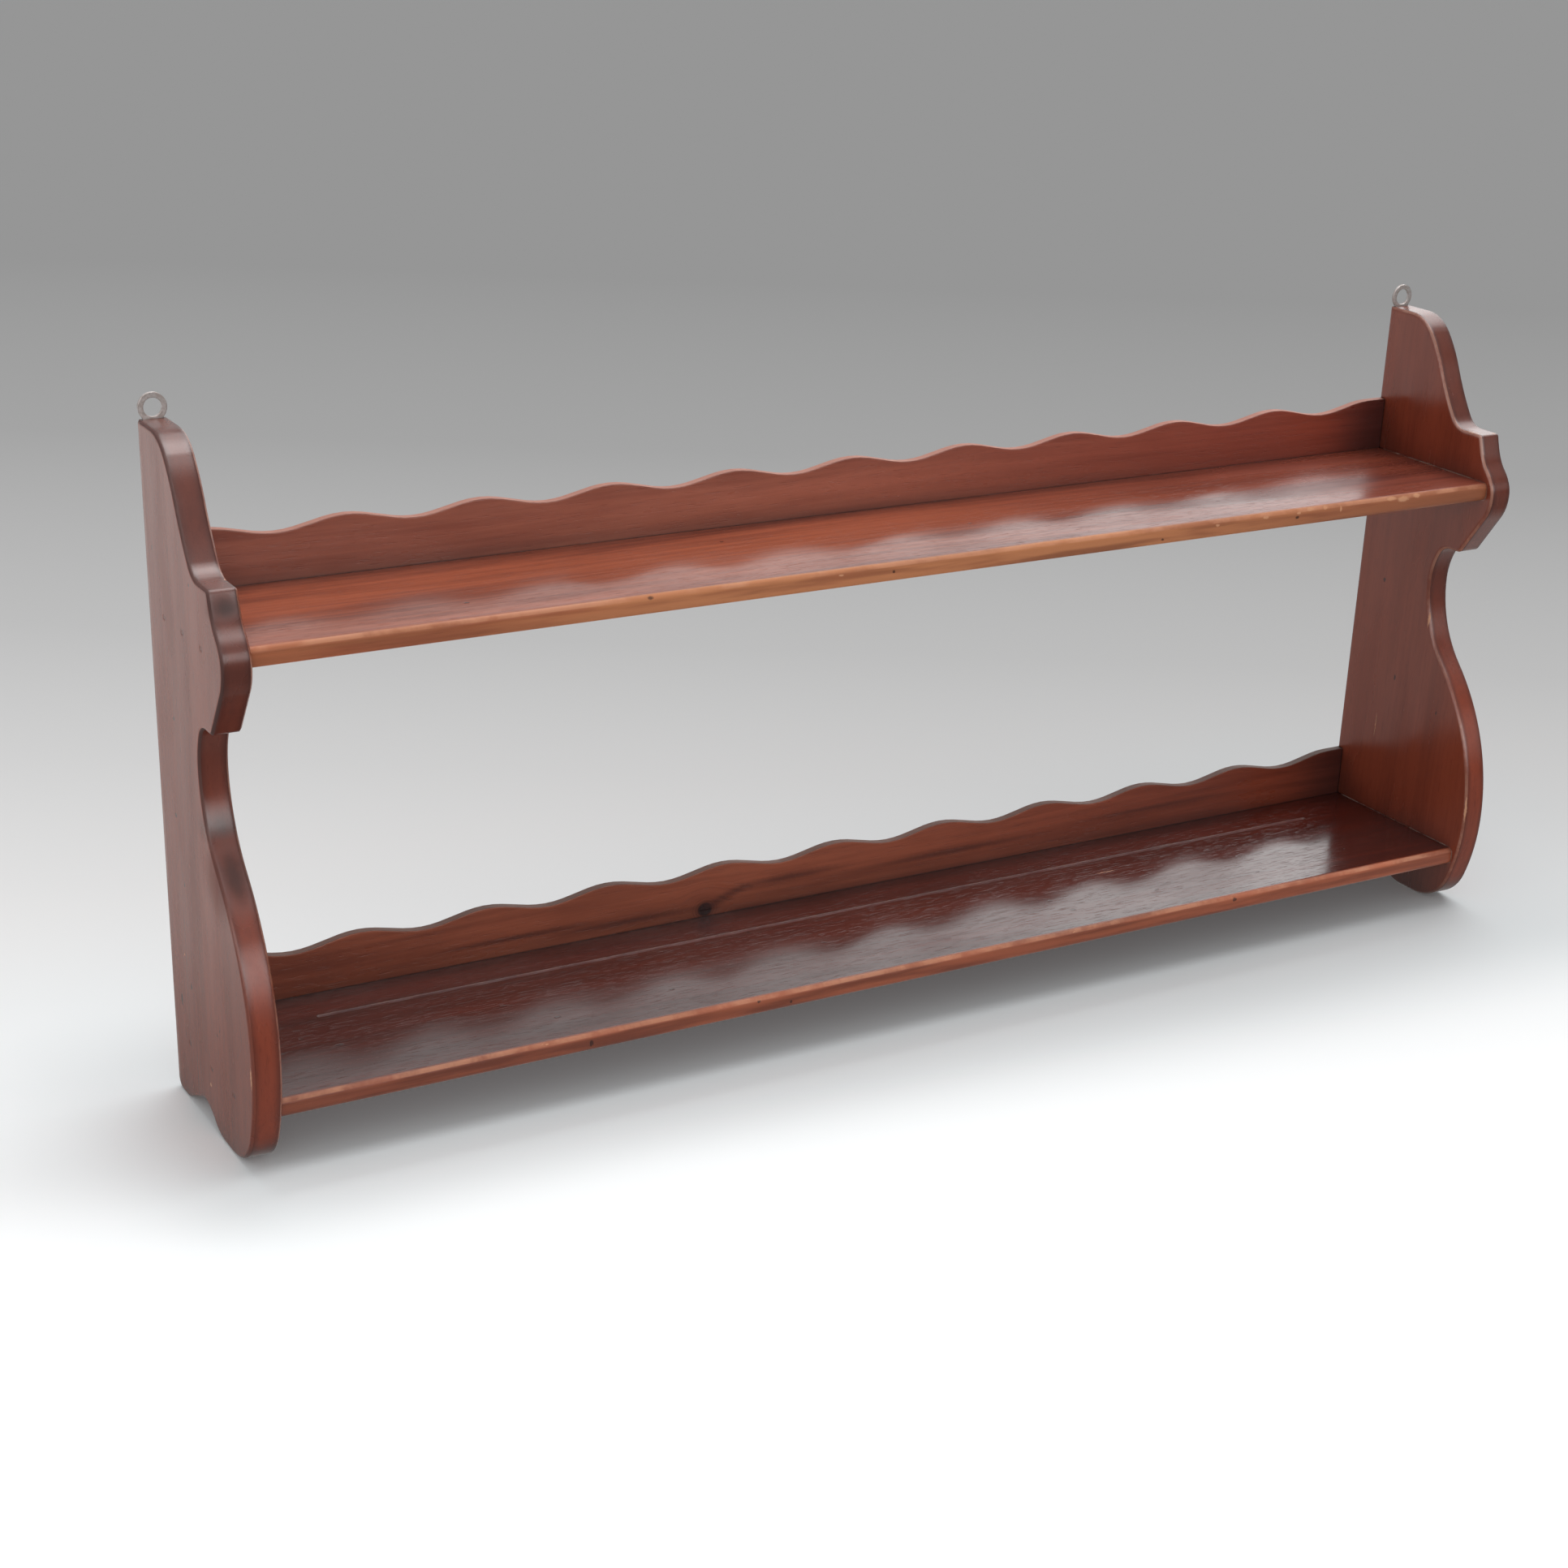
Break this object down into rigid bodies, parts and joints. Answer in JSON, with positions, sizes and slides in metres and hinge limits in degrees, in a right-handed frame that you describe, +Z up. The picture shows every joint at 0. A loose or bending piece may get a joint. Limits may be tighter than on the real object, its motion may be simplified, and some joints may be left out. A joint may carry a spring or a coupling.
{
  "type": "wall plate rack",
  "caption": "Long low wooden plate rack with shaped end boards, two shelves with scalloped back galleries, and metal hanging eyes at the back.",
  "frame": {"origin": "centre of the footprint, on the surface the rack stands on", "axes": "+X along the shelves to the right seen from the front, +Y towards the wall, +Z up"},
  "size_m": [1, 0.151, 0.461],
  "materials": {
    "board_wood": "dark red-brown varnish, semi-gloss",
    "shelf_wood": "red-brown varnish, gloss",
    "gallery_wood": "red-brown varnish, semi-gloss",
    "eye_brass": "dull and tarnished",
    "screw_brass": "dull",
    "nail_iron": "dark",
    "stopping": "wood-dust filler, varnished over"
  },
  "bodies": {
    "root": {"left_end_board": "board_wood", "right_end_board": "board_wood", "lower_shelf": "shelf_wood", "upper_shelf": "shelf_wood", "lower_gallery": "gallery_wood", "upper_gallery": "gallery_wood", "left_hanging_eye": "eye_brass", "right_hanging_eye": "eye_brass", "hanging_eye_screws": "screw_brass", "shelf_end_nails": "nail_iron", "nail_hole_stopping": "stopping", "gallery_brads": "nail_iron"}
  },
  "joints": []
}
